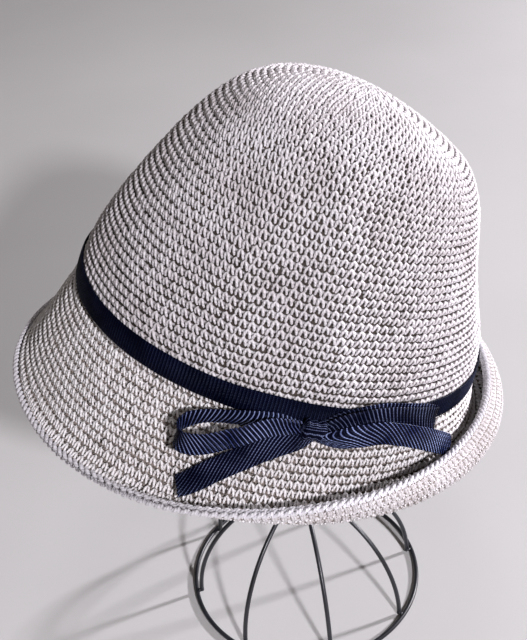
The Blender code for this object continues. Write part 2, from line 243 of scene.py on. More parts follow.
# One stitch, seen from the side that shows: along the round in widths, down in rounds, height in yarn radii
FRONT_STITCH = (
    # along, down, height
    (-0.24, 0.50, -2.60),
    (-0.27, 0.20, -0.60),
    (-0.23, -0.12, 0.40),
    (-0.05, -0.36, 0.10),
    (0.15, -0.16, 0.50),
    (0.28, 0.18, -0.30),
    (0.38, 0.50, -2.60),
)
HEAD_STRAND = (
    # along, down, height
    (-0.52, -0.08, -1.40),
    (0.00, -0.08, -1.05),
    (0.52, -0.08, -1.40),
)
BACK_STITCH = (
    # along, down, height
    (-0.40, 0.56, -1.30),
    (-0.24, 0.22, 0.10),
    (0.02, -0.22, 0.10),
    (0.18, -0.56, -1.30),
)
EDGE_STITCH = (
    # along, down, height in thicknesses of the crochet
    (-0.55, -0.34, -0.12),
    (-0.20, -0.10, 0.04),
    (0.20, 0.12, -0.14),
    (0.55, 0.14, -0.48),
)

# Studio: directions as the camera sees them, and each light's direction, distance, size, power and colour
TOWARDS = Vector((0.976, -0.216, 0))
RIGHT = Vector((0.216, 0.976, 0))
UP = Vector((0, 0, 1))
DAYLIGHT = (1.0, 0.975, 1.03)
LIGHTS = (
    ("key", RIGHT * 0.885 - TOWARDS * 0.305 + UP * 0.352, 2.0, 0.16, 53, DAYLIGHT),
    ("front", TOWARDS * 0.803 + RIGHT * 0.324 + UP * 0.500, 2.0, 0.14, 38, DAYLIGHT),
    ("top", UP, 2.2, 0.6, 4, (0.97, 0.96, 1.0)),
)
LIGHT_TARGET_HEIGHT = 0.17
ROOM_COLOUR = (1.0, 0.82, 0.66, 1)
ROOM_STRENGTH = 0.08
STAGE_REACH = 6.0
STAGE_CURVE_START = 2.0
STAGE_CURVE_RADIUS = 2.0
STAGE_CURVE_STEPS = 12

# Camera: its place from the stand's axis, its turns in degrees and its focal length in pixels
CAMERA_PLACE = (0.39840, -0.10112, 0.46100)
CAMERA_AZIMUTH = 77.541
CAMERA_PITCH = 34.722
CAMERA_ROLL = -4.487
FOCAL_PIXELS = 1050
LONG_SIDE_PIXELS = 640
SENSOR_WIDTH = 36

# Finishes: waves along the ribs and around the yarn, the twist of its plies, the ribbon's threads, colours
FULL_TURN = 6.2832
TWIST_ALONG = 5200
TWIST_AROUND = 12.566
WARP_THREADS = 88

YARNS = (
    # name, then dark, light and bright tones that vary at random, then deep, the painted shade under each
    # tube
    ("ecru_yarn", (0.57, 0.525, 0.53), (0.74, 0.705, 0.73), (0.88, 0.865, 0.90), (0.15, 0.12, 0.11)),
    # Painted light and shade: the brim's copy of the yarn is painted lighter for the light that falls on the
    # brim, the under copy darker as shade on the brim's underside. The edge copy is a little darker and
    # bluer.
    ("ecru_brim_yarn_painted_light", (0.75, 0.71, 0.71), (0.90, 0.875, 0.89), (0.97, 0.965, 0.98), (0.37, 0.31, 0.27)),
    ("ecru_under_yarn_painted_shade", (0.46, 0.42, 0.42), (0.62, 0.59, 0.60), (0.78, 0.765, 0.79), (0.28, 0.23, 0.20)),
    ("ecru_edge_yarn", (0.52, 0.49, 0.51), (0.67, 0.65, 0.69), (0.82, 0.82, 0.87), (0.67, 0.65, 0.69)),
    # Painted shade: near-black yarn for the skin, standing for the shade in the gaps between the stitches.
    ("yarn_in_shade", (0.02, 0.015, 0.012), (0.04, 0.03, 0.025), (0.08, 0.062, 0.05), (0.02, 0.015, 0.012)),
)
RIBBONS = (
    # name, colours of the painted highlights on the rib crests, dull and bright, and specular shine
    ("navy_band", ((0.005, 0.007, 0.016), (0.024, 0.032, 0.070)), 0.06),
    ("navy_bow", ((0.045, 0.056, 0.120), (0.260, 0.310, 0.540)), 0.08),
    # The bow's ribbon again, with brighter painted highlights, for the pieces that the light catches most.
    ("navy_bow_painted_lit", ((0.050, 0.075, 0.240), (0.460, 0.560, 1.000)), 0.10),
)

random = np.random.default_rng(11)


# The hat's form


def smooth_step(value):
    value = np.clip(value, 0, 1)
    return value * value * (3 - 2 * value)


def smooth_curve(before, start, end, after, share):
    """Point on the smooth curve from start to end, between rows of a table."""
    bend = 2 * before - 5 * start + 4 * end - after
    twist = 3 * start - before - 3 * end + after
    return start + 0.5 * share * ((end - before) + share * (bend + share * twist))


def brim_section(azimuth):
    """Width share, root slope, edge slope and turn of the brim at each azimuth."""
    count = len(BRIM_SECTIONS)
    place = (np.asarray(azimuth) % 360) / 360 * count
    row = np.floor(place).astype(int)
    rows = [BRIM_SECTIONS[(row + step) % count] for step in (-1, 0, 1, 2)]
    return smooth_curve(*rows, (place - row)[..., None])


def fold_depth(azimuth, rise):
    """How far the folds push the crown in."""
    depth = np.zeros((len(rise), len(azimuth)))
    for foot, top, start, end, half_width, share in CROWN_FOLDS:
        middle = foot + (top - foot) * rise[:, None]
        away = (azimuth[None] - middle + 180) % 360 - 180
        across = np.exp(-((away / half_width) ** 2))
        fade = FOLD_FADE * (end - start)
        along = smooth_step((rise - start) / fade + 0.5) * smooth_step((end - rise) / fade + 0.5)
        depth += share * FOLD_DEPTH * across * along[:, None]
    return depth


def crown_points(azimuth, rise):
    """Points on the crown's outer face, a row for each share of its height."""
    steps = 24
    stride = rise / steps
    leans = np.radians(CROWN_BEND) * ((np.arange(steps) + 0.5)[:, None] * stride) ** BEND_GROWTH
    centre_y = (np.sin(leans) * stride).sum(0) * CROWN_HEIGHT
    centre_z = (np.cos(leans) * stride).sum(0) * CROWN_HEIGHT
    lean = np.radians(CROWN_BEND) * rise**BEND_GROWTH
    size = np.sqrt(np.maximum(1 - rise * rise, 0)) * (1 - CROWN_TAPER * rise**2 + CROWN_FULLNESS * rise**3)
    way = np.radians(azimuth)
    behind = np.maximum(-np.cos(way), 0) ** 2
    closing = np.minimum(1, TOP_CLOSING * (1 - rise))
    bulge = np.exp(-(((rise - SHOULDER_RISE) / SHOULDER_SPREAD) ** 2)) * closing
    size = size[:, None] + BACK_SHOULDER * behind * bulge[:, None]
    size = size * (1 - fold_depth(azimuth, rise) / (HEAD_BREADTH / 2))
    x = HEAD_BREADTH / 2 * size * np.sin(way)
    y = -HEAD_LENGTH / 2 * size * np.cos(way)
    return np.stack(
        [x, centre_y[:, None] + y * np.cos(lean)[:, None], centre_z[:, None] - y * np.sin(lean)[:, None]], -1
    )


def brim_points(azimuth, shares):
    """Points on the brim's upper face, a row for each share of its width."""
    width, root, edge, turn = np.moveaxis(brim_section(azimuth), -1, 0)
    fine = np.linspace(0, shares.max(), BRIM_SAMPLES)
    middle = ((fine[1:] + fine[:-1]) / 2)[:, None]
    slope = np.radians(root + (edge - root) * smooth_step((middle - turn) / (1 - turn)))
    stride = width * BRIM_WIDTH * np.diff(fine)[:, None]
    start = np.zeros((1, len(azimuth)))
    reach = np.concatenate([start, np.cumsum(np.cos(slope) * stride, 0)])
    drop = np.concatenate([start, np.cumsum(np.sin(slope) * stride, 0)])
    way = np.radians(azimuth)
    across = np.stack([np.sin(way) / HEAD_BREADTH, -np.cos(way) / HEAD_LENGTH], -1)
    across /= np.linalg.norm(across, axis=-1)[:, None]
    rows = []
    for share in shares:
        place = share / fine[-1] * (len(fine) - 1)
        low = min(int(place), len(fine) - 2)
        part = place - low
        far = reach[low] * (1 - part) + reach[low + 1] * part
        fall = drop[low] * (1 - part) + drop[low + 1] * part
        x = HEAD_BREADTH / 2 * np.sin(way) + across[:, 0] * far
        y = -HEAD_LENGTH / 2 * np.cos(way) + across[:, 1] * far
        rows.append(np.stack([x, y, -fall], -1))
    return np.array(rows)


def crown_scale():
    """Shares of the crown's height, and how far from its top each lies along the surface, on average."""
    angle = np.linspace(np.pi / 2, 0, CROWN_SAMPLES)
    rise = np.sin(angle)
    points = crown_points(np.arange(0, 360, 15.0), rise)
    steps = np.linalg.norm(np.diff(points, axis=0), axis=-1).mean(1)
    return rise, np.concatenate([[0], np.cumsum(steps)])


RISES, DISTANCES = crown_scale()
CROWN_ROUNDS = round(DISTANCES[-1] / CROWN_PITCH)
BRIM_ROUNDS = round(BRIM_WIDTH / BRIM_PITCH)
ROUNDS = CROWN_ROUNDS + BRIM_ROUNDS
STAND_AXIS = (Vector(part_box("base_ring")[0]) + Vector(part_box("base_ring")[1])) / 2
HAT_SEAT = np.array([STAND_AXIS.x, STAND_AXIS.y + HAT_SETBACK, HAT_HEIGHT])


def round_at_rise(rise):
    """Round at a share of the crown's height."""
    return np.interp(-np.asarray(rise), -RISES, DISTANCES) / DISTANCES[-1] * CROWN_ROUNDS


def build_grid():
    """Points and outward directions of the hat's outer face, a row for each part of a round."""
    azimuth = np.arange(GRID_AZIMUTHS) * 360 / GRID_AZIMUTHS
    places = np.arange(1, (ROUNDS + SPARE_ROUNDS) * GRID_STEPS + 1) / GRID_STEPS
    crown = places[places <= CROWN_ROUNDS]
    brim = places[places > CROWN_ROUNDS]
    rise = np.interp(crown / CROWN_ROUNDS * DISTANCES[-1], DISTANCES, RISES)
    brim_shares = (brim - CROWN_ROUNDS) / BRIM_ROUNDS
    points = np.concatenate([crown_points(azimuth, rise), brim_points(azimuth, brim_shares)])
    turn = np.array(Matrix.Rotation(math.radians(-HAT_LEAN), 3, "X"))
    points = points @ turn.T + HAT_SEAT
    along = np.roll(points, -1, 1) - np.roll(points, 1, 1)
    down = np.gradient(points, axis=0)
    out = np.cross(down, along)
    out /= np.linalg.norm(out, axis=-1, keepdims=True)
    girth = np.linalg.norm(np.diff(points, axis=1), axis=-1).sum(1)
    return points, out, girth


GRID_POINTS, GRID_OUT, GRID_GIRTH = build_grid()


def on_hat(place, azimuth, height):
    """Points at rounds, azimuths in degrees and heights over the hat's outer face."""
    just_short = len(GRID_POINTS) - 1.001
    row = np.clip(np.asarray(place) * GRID_STEPS - 1, 0, just_short)
    column = (np.asarray(azimuth) % 360) / 360 * GRID_AZIMUTHS
    row, column = np.broadcast_arrays(row, column)
    low = np.floor(row).astype(int)
    left = np.floor(column).astype(int) % GRID_AZIMUTHS
    right = (left + 1) % GRID_AZIMUTHS
    part_row = (row - low)[..., None]
    part_column = (column - np.floor(column))[..., None]

    def between(grid):
        above = grid[low, left] * (1 - part_column) + grid[low, right] * part_column
        below = grid[low + 1, left] * (1 - part_column) + grid[low + 1, right] * part_column
        return above * (1 - part_row) + below * part_row

    out = between(GRID_OUT)
    out /= np.linalg.norm(out, axis=-1, keepdims=True)
    return between(GRID_POINTS) + out * np.asarray(height)[..., None]


def girth_at(place):
    """Length of a round of the hat."""
    return np.interp(np.asarray(place) * GRID_STEPS - 1, np.arange(len(GRID_GIRTH)), GRID_GIRTH)


# Meshes


def make_mesh(name, points, quads, tris=None, corner_uv=None, finish=(), finish_index=None):
    """Object with a mesh of the given points and faces, shaded smooth."""
    quads = np.asarray(quads, np.int32).reshape(-1, 4)
    tris = np.zeros((0, 3), np.int32) if tris is None else np.asarray(tris, np.int32).reshape(-1, 3)
    corners = np.concatenate([quads.ravel(), tris.ravel()])
    starts = np.concatenate([np.arange(len(quads)) * 4, len(quads) * 4 + np.arange(len(tris)) * 3])
    mesh = bpy.data.meshes.new(name)
    mesh.vertices.add(len(points))
    mesh.vertices.foreach_set("co", np.asarray(points, np.float32).ravel())
    mesh.loops.add(len(corners))
    mesh.loops.foreach_set("vertex_index", corners)
    mesh.polygons.add(len(starts))
    mesh.polygons.foreach_set("loop_start", starts.astype(np.int32))
    if corner_uv is not None:
        layer = mesh.uv_layers.new(name="Run")
        layer.data.foreach_set("uv", np.asarray(corner_uv, np.float32).ravel())
    for one in finish:
        mesh.materials.append(one)
    if finish_index is not None:
        mesh.polygons.foreach_set("material_index", np.asarray(finish_index, np.int32))
    mesh.update(calc_edges=True)
    mesh.validate()
    mesh.shade_smooth()
    obj = bpy.data.objects.new(name, mesh)
    bpy.context.scene.collection.objects.link(obj)
    return obj


def add_piece(obj, slot, *nodes):
    """Puts an object under the part's root body and hides the solids that it replaces."""
    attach(obj, "root")
    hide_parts(*nodes)
    return obj


def grid_faces(rows, columns, closed_columns=False, closed_rows=False):
    """Quads of a grid of points, counted row by row."""
    row = np.arange(rows if closed_rows else rows - 1)
    column = np.arange(columns if closed_columns else columns - 1)
    row, column = np.meshgrid(row, column, indexing="ij")
    below = (row + 1) % rows
    after = (column + 1) % columns
    faces = np.stack(
        [row * columns + column, row * columns + after, below * columns + after, below * columns + column], -1
    )
    return faces.reshape(-1, 4)


def corner_places(rows, columns):
    """Row and column of each corner of the quads of a grid that is closed around its columns."""
    row, column = np.meshgrid(np.arange(rows), np.arange(columns), indexing="ij")
    return np.stack([row, row, row + 1, row + 1], -1), np.stack([column, column + 1, column + 1, column], -1)


def end_fans(rows, columns):
    """Triangles that close a grid's first and last rows at two points, which follow the grid's own."""
    here = np.arange(columns)
    after = (here + 1) % columns
    last = (rows - 1) * columns
    first_fan = np.stack([np.full(columns, rows * columns), after, here], -1)
    last_fan = np.stack([np.full(columns, rows * columns + 1), last + here, last + after], -1)
    return np.concatenate([first_fan, last_fan])


def path_lengths(path):
    """Distance of each point of a path from its start."""
    return np.concatenate([[0], np.cumsum(np.linalg.norm(np.diff(path, axis=0), axis=1))])


def tube(path, radius, sides, level=(0, 0, 1)):
    """Closed tube along a path: points, quads, end triangles, and each corner's place along and around it."""
    path = np.asarray(path, float)
    stations = len(path)
    radius = np.broadcast_to(radius, stations)
    run = np.gradient(path, axis=0)
    run /= np.linalg.norm(run, axis=1)[:, None]
    side = np.cross(run, level)
    side /= np.linalg.norm(side, axis=1)[:, None]
    top = np.cross(side, run)
    angle = 2 * np.pi * np.arange(sides) / sides + np.pi / 2
    ring = np.cos(angle)[None, :, None] * side[:, None] + np.sin(angle)[None, :, None] * top[:, None]
    points = (path[:, None] + ring * radius[:, None, None]).reshape(-1, 3)
    quads = grid_faces(stations, sides, closed_columns=True)
    fan = np.array([(0, step, step + 1) for step in range(1, sides - 1)])
    tris = np.concatenate([fan, fan[:, ::-1] + (stations - 1) * sides])
    row, column = corner_places(stations - 1, sides)
    quad_uv = np.stack([path_lengths(path)[row], column / sides], -1).reshape(-1, 2)
    end_uv = np.zeros((len(tris) * 3, 2))
    return points, quads, tris, np.concatenate([quad_uv, end_uv])


def joined(parts):
    """Several (points, quads, tris, corner places) as one."""
    points, quads, tris, quad_uv, tri_uv = [], [], [], [], []
    start = 0
    for part_points, part_quads, part_tris, part_uv in parts:
        points.append(part_points)
        quads.append(part_quads + start)
        tris.append(part_tris + start)
        split = len(part_quads) * 4
        quad_uv.append(part_uv[:split])
        tri_uv.append(part_uv[split:])
        start += len(part_points)
    uv = np.concatenate(quad_uv + tri_uv)
    return np.concatenate(points), np.concatenate(quads), np.concatenate(tris), uv


# Crochet


def smooth_path(rows, steps):
    """Finer path through the rows of a stitch's table."""
    rows = np.asarray(rows, float)
    last = len(rows) - 1
    found = []
    for place in np.linspace(0, last, steps + 1):
        row = min(int(place), last - 1)
        near = [rows[min(max(row + step, 0), last)] for step in (-1, 0, 1, 2)]
        found.append(smooth_curve(*near, place - row))
    return np.array(found)


def radius_run(stations):
    """Yarn fuller in the middle of a stitch than at its ends."""
    share = np.linspace(-1, 1, stations)
    return 1.06 - 0.22 * share**4


def stitch_form(tables, size, height_unit, radius, middle, sides):
    """One stitch as tubes on a flat patch, in metres. A negative height unit turns it to face inwards."""
    parts = []
    for rows, count in zip(tables, sides):
        path = np.array(rows, float) * (*size, height_unit)
        path[:, 2] += middle
        points, quads, tris, uv = tube(path, radius * radius_run(len(path)), count)
        # Stitches turned inwards shift their places around by half a turn, so the yarn's painted underside
        # shade stays on the side that faces the skin.
        if height_unit < 0:
            uv[:, 1] += 0.5
        parts.append((points, quads, tris, uv))
    return (*joined(parts), size)


def lay_stitches(name, rounds, form, finish, wander=1.0):
    """Copies of a stitch along whole rounds of the hat, as one piece."""
    form_points, form_quads, form_tris, form_uv, (stitch_width, pitch) = form
    places, azimuths, widths = [], [], []
    for place in rounds:
        girth = girth_at(place)
        count = max(LEAST_STITCHES, int(round(girth / stitch_width / COUNT_STEP)) * COUNT_STEP)
        stray = STRAY_ALONG * wander * random.standard_normal(count)
        steps = np.arange(count) + ROUND_SLIP * place + stray
        azimuths.append(steps * 360 / count)
        places.append(place + STRAY_DOWN * wander * random.standard_normal(count))
        widths.append(np.full(count, 360 / count / stitch_width))
    azimuth = np.concatenate(azimuths)[:, None]
    place = np.concatenate(places)[:, None]
    width = np.concatenate(widths)[:, None]
    count = len(azimuth)
    rise = STRAY_HEIGHT * wander * random.standard_normal((count, 1))
    slant = STRAY_SLANT * wander * random.standard_normal((count, 1))
    grow = 1 + STRAY_SIZE * wander * random.standard_normal((count, 1))
    along, down, height = form_points.T
    at_azimuth = azimuth + (along * grow + slant * down) * width
    at_place = place + down * grow / pitch
    points = on_hat(at_place, at_azimuth, height + rise).reshape(-1, 3)
    step = (np.arange(count) * len(form_points))[:, None, None]
    quads = (form_quads[None] + step).reshape(-1, 4)
    tris = (form_tris[None] + step).reshape(-1, 3)
    split = len(form_quads) * 4
    chance = random.random((count, 1, 1)) * (1, 0)
    quad_uv = form_uv[:split] + chance
    tri_uv = form_uv[split:] + chance
    uv = np.concatenate([quad_uv.reshape(-1, 2), tri_uv.reshape(-1, 2)])
    obj = make_mesh(name, points, quads, tris, uv, [finish])
    return add_piece(obj, "crochet_yarn", "crochet_shell")


def crochet_ground(dark, light):
    """Closed skin behind the stitches, its outer face painted near-black as the shade in the gaps between
    them. Inside the crown it shows the wrong side's ridges.
    """
    outer = np.arange(1, ROUNDS + 1)
    azimuth = np.arange(SKIN_COLUMNS) * 360 / SKIN_COLUMNS
    on_brim = smooth_step((outer - CROWN_ROUNDS) / SKIN_BLEND)[:, None]
    outer_points = on_hat(outer[:, None], azimuth[None], -SKIN_DEPTH + SKIN_BRIM_RISE * on_brim)
    inner = np.arange(ROUNDS * 2, 1, -1) / 2
    ridge = SKIN_RIDGE * np.cos(2 * np.pi * inner[:, None])
    purl = SKIN_PURL * np.cos(np.pi * np.arange(SKIN_COLUMNS))[None] * np.ones((len(inner), 1))
    on_crown = smooth_step((CROWN_ROUNDS + 1.0 - inner) / SKIN_BLEND)[:, None]
    depth = -SKIN_BRIM_BACK - on_crown * (SKIN_CROWN_BACK + ridge + purl)
    inner_points = on_hat(inner[:, None], azimuth[None], depth)
    rows = np.concatenate([outer_points, inner_points])
    quads = grid_faces(len(rows), SKIN_COLUMNS, closed_columns=True)
    tris = end_fans(len(rows), SKIN_COLUMNS)
    tops = [on_hat(SKIN_TOP_ROUND, azimuth, height).mean(0) for height in (-SKIN_DEPTH, -CROCHET_THICKNESS)]
    points = np.concatenate([rows.reshape(-1, 3), tops])
    # Painted shade: the outer faces and the outer top cap take the near-black finish; the inner faces and
    # inner cap take the yarn.
    inside = np.repeat(np.arange(len(rows) - 1) >= len(outer), SKIN_COLUMNS)
    index = np.concatenate([inside, np.zeros(SKIN_COLUMNS), np.ones(SKIN_COLUMNS)])
    obj = make_mesh("crochet_ground", points, quads, tris, None, [dark, light], index)
    return add_piece(obj, "crochet_yarn", "crochet_shell")


def crochet(yarn, lit_brim_yarn, shaded_under_yarn, edge_yarn, shade_skin_finish):
    """Stitches of the crown, of the brim's two sides and of its free edge, with the skin behind them, its
    outer face painted as shade.
    """
    crown_size = (CROWN_STITCH, CROWN_PITCH)
    brim_size = (BRIM_STITCH, BRIM_PITCH)
    front = (FRONT_STITCH, HEAD_STRAND)
    crown_front = stitch_form(front, crown_size, YARN_RADIUS, YARN_RADIUS, -YARN_RADIUS, (5, 4))
    taller = [np.array(rows) * (1, BRIM_OVERLAP, 1) for rows in front]
    brim_height = YARN_RADIUS * BRIM_FLATNESS
    brim_radius = YARN_RADIUS * BRIM_FINENESS
    brim_front = stitch_form(taller, brim_size, brim_height, brim_radius, -YARN_RADIUS, (4, 4))
    first_leg = np.array(BACK_STITCH)
    legs = [first_leg, first_leg + (LEG_SPACING, 0, 0)]
    under_middle = YARN_RADIUS - CROCHET_THICKNESS
    under = stitch_form(legs, brim_size, -YARN_RADIUS, YARN_RADIUS, under_middle, (4, 4))
    over_edge = np.array(EDGE_STITCH)
    under_edge = over_edge * (1, 1, -1) + (0.5, 0, -1)
    edge = stitch_form([over_edge, under_edge], brim_size, CROCHET_THICKNESS, EDGE_RADIUS, 0, (6, 6))
    crown = np.arange(1, CROWN_ROUNDS)
    cuts = (0, *(int(CROWN_ROUNDS * share) for share in CROWN_CUTS), CROWN_ROUNDS - 1)
    for name, start, end in zip(("crown_top", "crown_middle", "crown_foot"), cuts, cuts[1:]):
        lay_stitches(f"stitches_{name}", crown[start:end], crown_front, yarn)
    middle = CROWN_ROUNDS + BRIM_ROUNDS // 2
    under_rounds = np.arange(CROWN_ROUNDS + 1, ROUNDS)
    # The brim's top takes the yarn painted lighter for its light, its underside the yarn painted darker as
    # shade.
    lay_stitches("stitches_brim_inner", np.arange(CROWN_ROUNDS, middle), brim_front, lit_brim_yarn)
    lay_stitches("stitches_brim_outer", np.arange(middle, ROUNDS), brim_front, lit_brim_yarn)
    lay_stitches("stitches_brim_under", under_rounds, under, shaded_under_yarn, wander=0.5)
    lay_stitches("stitches_edge", [ROUNDS], edge, edge_yarn, wander=0.5)
    crochet_ground(shade_skin_finish, yarn)

# Ribbon


def hat_place(azimuth, down):
    """Round at a distance down the brim from the ribbon's lower edge, or up the crown if negative."""
    width = brim_section(azimuth)[..., 0] * BRIM_WIDTH
    return np.where(
        down > 0,
        CROWN_ROUNDS + BRIM_ROUNDS * down / width,
        round_at_rise(np.maximum(-down, 0) / CROWN_HEIGHT),
    )


def hat_frame(azimuth, down, step):
    """Points on the hat's outer face with the directions outwards and downhill."""
    turn = 0.5
    point = on_hat(hat_place(azimuth, down), azimuth, 0)
    left = on_hat(hat_place(azimuth - turn, down), azimuth - turn, 0)
    right = on_hat(hat_place(azimuth + turn, down), azimuth + turn, 0)
    above = on_hat(hat_place(azimuth, down - step), azimuth, 0)
    below = on_hat(hat_place(azimuth, down + step), azimuth, 0)
    along = right - left
    along /= np.linalg.norm(along, axis=-1)[:, None]
    downhill = below - above
    downhill /= np.linalg.norm(downhill, axis=-1)[:, None]
    out = np.cross(downhill, along)
    out /= np.linalg.norm(out, axis=-1)[:, None]
    return point, out, downhill


def arc_azimuth(distance):
    """Azimuth at a distance along the band from the knot, towards the back if positive."""
    return KNOT_AZIMUTH + np.degrees(distance / ((HEAD_LENGTH + HEAD_BREADTH) / 4))


def ribbed_strip(
    name,
    middle,
    across,
    finish,
    node,
    pitch=BAND_RIB_PITCH,
    closed=False,
    skew=0.0,
    arch=0.0,
    cup=STRIP_CUP,
    pleats=None,
):
    """Grosgrain strip along a middle line, with its half width as vectors and rounded edges.

    Its ribs lie across it, slanted by the skew and arched near the start.
    """
    if closed:
        middle = np.concatenate([middle, middle[:1]])
        across = np.concatenate([across, across[:1]])
    length = path_lengths(middle)
    ribs = max(4, int(round(length[-1] / pitch)))
    steps = ribs * STEPS_PER_RIB
    wanted = np.linspace(0, length[-1], steps + (0 if closed else 1), endpoint=not closed)
    middle = np.stack([np.interp(wanted, length, middle[:, axis]) for axis in range(3)], -1)
    across = np.stack([np.interp(wanted, length, across[:, axis]) for axis in range(3)], -1)
    run = (np.roll(middle, -1, 0) - np.roll(middle, 1, 0)) if closed else np.gradient(middle, axis=0)
    run /= np.linalg.norm(run, axis=1)[:, None]
    out = np.cross(across, run)
    out /= np.linalg.norm(out, axis=1)[:, None]
    inner = STRAIGHT_COLUMNS if abs(skew) < LEAST_SKEW else SKEWED_COLUMNS
    stations = np.concatenate([[-1], np.linspace(-EDGE_PLACE, EDGE_PLACE, inner), [1]])
    rim = RIBBON_THICKNESS / 2 * np.concatenate([[EDGE_THINNING], np.ones(inner), [EDGE_THINNING]])
    turns = (wanted[:, None] + skew * stations[None] * RIBBON_WIDTH / 2) / length[-1] * ribs
    near_start = np.exp(-((wanted / wanted[-1] / ARCH_REACH) ** 2))
    turns = turns + arch * near_start[:, None] * (1 - stations**2)[None]
    rib = RIB_RELIEF * np.cos(2 * np.pi * turns) * rim / rim.max()
    bend = cup * (1 - stations**2)[None] * np.ones((len(wanted), 1))
    if pleats is not None:
        bend = bend + pleats(wanted / wanted[-1])[:, None] * np.cos(PLEAT_WAVES * np.pi * stations)[None]
    base = middle[:, None] + across[:, None] * stations[None, :, None]
    front = base + out[:, None] * (bend + rim + rib)[..., None]
    back = base + out[:, None] * (bend - rim + rib)[..., None]
    points = np.concatenate([front, back[:, ::-1]], axis=1)
    rows, columns = points.shape[:2]
    quads = grid_faces(rows, columns, closed_columns=True, closed_rows=closed)
    turns = np.concatenate([turns, turns[:, ::-1]], axis=1)
    spots = np.tile(np.concatenate([stations, stations[::-1]]) / 2, (rows, 1))
    uv = np.stack([turns.ravel()[quads], spots.ravel()[quads]], -1)
    if closed:
        uv[-columns:, 2:, 0] += ribs
    uv = uv.reshape(-1, 2)
    tris = None
    if not closed:
        ends = []
        for start, order in ((0, 1), ((rows - 1) * columns, -1)):
            for a in range(len(stations) - 1):
                b, c, d = a + 1, columns - 2 - a, columns - 1 - a
                ends.append(tuple(start + corner for corner in (a, c, b))[::order])
                ends.append(tuple(start + corner for corner in (a, d, c))[::order])
        tris = np.array(ends)
        uv = np.concatenate([uv, np.zeros((len(tris) * 3, 2))])
    obj = make_mesh(name, points.reshape(-1, 3), quads, tris, uv, [finish])
    return add_piece(obj, "grosgrain", node)


def band(finish):
    """Ribbon around the foot of the crown."""
    azimuth = np.arange(0, 360, 0.5)
    height = np.full(len(azimuth), BAND_GAP + RIBBON_THICKNESS)
    places = round_at_rise(RIBBON_WIDTH / CROWN_HEIGHT * np.array([0.0, 1.0]))
    low, high = (on_hat(place, azimuth, height) for place in places)
    ribbed_strip("band", (low + high) / 2, (low - high) / 2, finish, "ribbon_band", closed=True, cup=BAND_CUP)


def bow_strip(name, table, length, side, finish, node, pitch, skew, arch=0.0):
    """Loop or tail of the bow from its table, towards the back if side is 1 and the front if it is -1."""
    start = KNOT_WIDTH / 2 + BAND_GAP
    rows = smooth_path(table, STRIP_STEPS)
    along, down, out, width, lean = rows.T
    azimuth = arc_azimuth(side * (start + along * (length - start)))
    point, normal, downhill = hat_frame(azimuth, down * RIBBON_WIDTH, RIBBON_WIDTH)
    lift = 2 * BAND_GAP + 1.5 * STRIP_ROOM
    point = point + normal * (lift + out * LOOP_DEPTH)[:, None]
    lean = np.radians(lean)[:, None]
    across = downhill * np.cos(lean) - normal * np.sin(lean)
    run = np.gradient(point, axis=0)
    run /= np.linalg.norm(run, axis=1)[:, None]
    across = across - STRIP_SQUARING * run * (across * run).sum(1)[:, None]
    across *= (side * width * RIBBON_WIDTH / 2 / np.linalg.norm(across, axis=1))[:, None]
    two_ends = name.startswith("bow_loop")

    def pleats(share):
        near = np.exp(-((share / PLEAT_REACH) ** 2))
        if two_ends:
            near = near + np.exp(-(((1 - share) / PLEAT_REACH) ** 2))
        return PLEAT_HEIGHT * near

    return ribbed_strip(name, point, across, finish, node, pitch, skew=skew, arch=arch, pleats=pleats)


def bow_knot(finish):
    """Ribbon wrapped over the middle of the bow, gathered into soft pleats."""
    azimuth = np.array([KNOT_AZIMUTH])
    at_knot = hat_frame(azimuth, np.array([-KNOT_RISE * RIBBON_WIDTH]), 0.0005)
    point, out, downhill = (found[0] for found in at_knot)
    along = np.cross(out, downhill)
    middle = point + out * (2 * BAND_GAP + STRIP_ROOM + KNOT_DEPTH / 2)
    angle = 2 * np.pi * np.arange(KNOT_COLUMNS) / KNOT_COLUMNS
    blunt = 2 / KNOT_BLUNTNESS
    height = np.sign(np.sin(angle)) * np.abs(np.sin(angle)) ** blunt
    depth = np.sign(np.cos(angle)) * np.abs(np.cos(angle)) ** blunt
    rows = []
    for share in np.linspace(-1, 1, KNOT_ROWS):
        flare = 0.80 + 0.20 * share**2
        edge = 1 - 0.55 * abs(share) ** 9
        pleat = 1 + 0.07 * math.cos(3.2 * np.pi * share + 0.6) + 0.03 * np.sin(2 * angle + 4 * share)
        skewed = share * KNOT_WIDTH / 2 + 0.0004 * height
        up = height * KNOT_HEIGHT / 2 * flare * edge * pleat
        deep = depth * KNOT_DEPTH / 2 * (0.92 + 0.08 * share**2) * edge * pleat
        rows.append(middle + along * skewed[:, None] - downhill * up[:, None] + out * deep[:, None])
    rows = np.array(rows)
    points = np.concatenate([rows.reshape(-1, 3), rows[[0, -1]].mean(1)])
    quads = grid_faces(KNOT_ROWS, KNOT_COLUMNS, closed_columns=True)
    tris = end_fans(KNOT_ROWS, KNOT_COLUMNS)
    uv = np.zeros((len(quads) * 4 + len(tris) * 3, 2))
    row, column = corner_places(KNOT_ROWS - 1, KNOT_COLUMNS)
    spin = column * (KNOT_RIBS / KNOT_COLUMNS)
    uv[: len(quads) * 4] = np.stack([spin, row / KNOT_ROWS - 0.5], -1).reshape(-1, 2)
    obj = make_mesh("knot", points, quads, tris, uv, [finish])
    return add_piece(obj, "grosgrain", "bow_knot")


